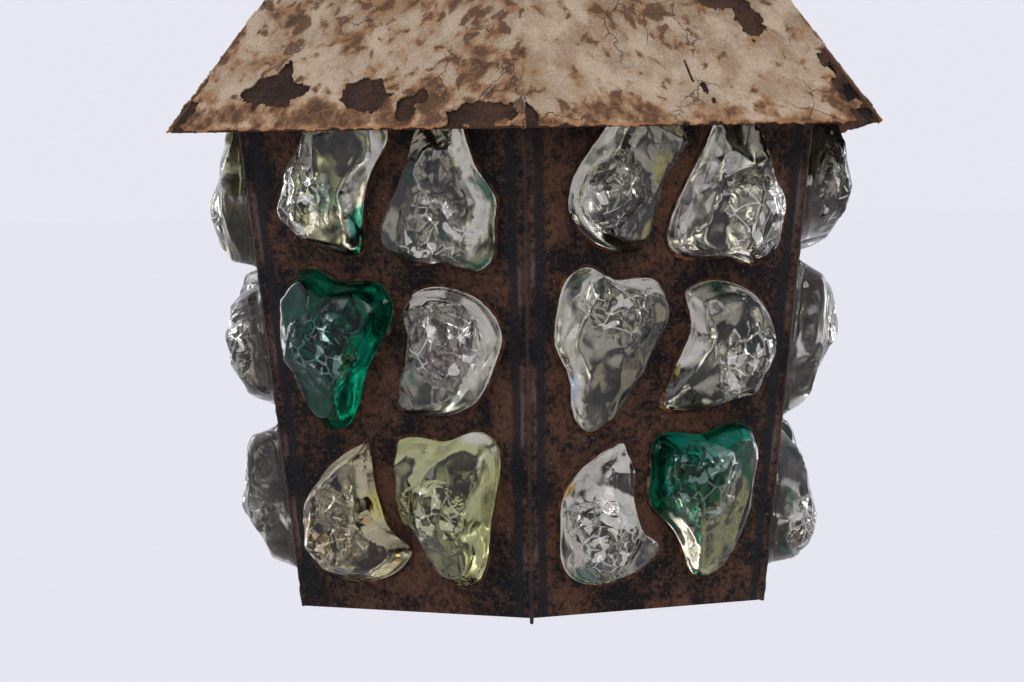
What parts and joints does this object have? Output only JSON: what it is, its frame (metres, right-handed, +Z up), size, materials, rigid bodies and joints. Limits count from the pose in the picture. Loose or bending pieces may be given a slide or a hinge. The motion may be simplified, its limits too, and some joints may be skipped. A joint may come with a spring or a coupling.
{
  "type": "hanging lantern",
  "caption": "Six-sided hanging lantern: tapering rusty iron body with chipped glass nuggets, steep flaking painted roof, ring and loop, lampholder and bulb.",
  "frame": {"origin": "where a ceiling hook bears, at the inside top of the hanging ring", "axes": "+Z up along the lantern's axis; one body corner and one roof ridge point to -Y, two panels face +X and -X"},
  "size_m": [0.3394, 0.392, 0.52],
  "materials": {
    "body_iron": "rusty, dark brown, mottled, matt",
    "roof_paint": "thick flaking cream paint over rust",
    "glass_clear": "thick clear glass, chipped",
    "glass_green": "thick emerald green glass, chipped",
    "glass_olive": "thick olive yellow glass, chipped",
    "glass_amber": "thick clear glass streaked with amber, chipped",
    "fitting_iron": "dark forged iron, a little rust",
    "fitting_steel": "dull plated steel",
    "holder_brass": "aged brass",
    "ceramic": "glazed ceramic",
    "rubber": "black rubber",
    "bulb_brass": "thin brass screw shell",
    "bulb_clear": "thin clear glass"
  },
  "bodies": {
    "ring": {"hanging_ring": "fitting_iron"},
    "lantern": {"panel_1": "body_iron", "panel_2": "body_iron", "panel_3": "body_iron", "panel_4": "body_iron", "panel_5": "body_iron", "panel_6": "body_iron", "glass_1_upper_left": "glass_clear", "glass_1_upper_right": "glass_clear", "glass_1_middle_left": "glass_clear", "glass_1_middle_right": "glass_clear", "glass_1_lower_left": "glass_clear", "glass_1_lower_right": "glass_green", "glass_2_upper_left": "glass_clear", "glass_2_upper_right": "glass_clear", "glass_2_middle_left": "glass_clear", "glass_2_middle_right": "glass_clear", "glass_2_lower_left": "glass_clear", "glass_2_lower_right": "glass_green", "glass_3_upper_left": "glass_clear", "glass_3_upper_right": "glass_clear", "glass_3_middle_left": "glass_clear", "glass_3_middle_right": "glass_amber", "glass_3_lower_left": "glass_olive", "glass_3_lower_right": "glass_clear", "glass_4_upper_left": "glass_green", "glass_4_upper_right": "glass_clear", "glass_4_middle_left": "glass_clear", "glass_4_middle_right": "glass_clear", "glass_4_lower_left": "glass_clear", "glass_4_lower_right": "glass_clear", "glass_5_upper_left": "glass_olive", "glass_5_upper_right": "glass_olive", "glass_5_middle_left": "glass_clear", "glass_5_middle_right": "glass_clear", "glass_5_lower_left": "glass_clear", "glass_5_lower_right": "glass_clear", "glass_6_upper_left": "glass_clear", "glass_6_upper_right": "glass_clear", "glass_6_middle_left": "glass_green", "glass_6_middle_right": "glass_clear", "glass_6_lower_left": "glass_amber", "glass_6_lower_right": "glass_olive", "roof_side_1": "roof_paint", "roof_side_2": "roof_paint", "roof_side_3": "roof_paint", "roof_side_4": "roof_paint", "roof_side_5": "roof_paint", "roof_side_6": "roof_paint", "roof_cap": "roof_paint", "cable_grommet": "rubber", "hanging_loop": "fitting_iron", "centre_tube": "fitting_steel", "cross_bar": "fitting_iron", "bar_rivets": "fitting_iron", "lock_nuts": "fitting_steel", "lampholder_body": "holder_brass", "lampholder_core": "ceramic"},
    "bulb": {"bulb_cap": "bulb_brass", "bulb_glass": "bulb_clear"}
  },
  "joints": [
    {"name": "lantern_swing", "type": "hinge", "parent": "ring", "child": "lantern", "pos_m": [0, 0, -0.048], "axis": [0, 1, 0], "range_deg": [-25, 25]},
    {"name": "bulb_pull", "type": "slide", "parent": "lantern", "child": "bulb", "axis": [0, 0, -1], "range_m": [0, 0.06]}
  ]
}
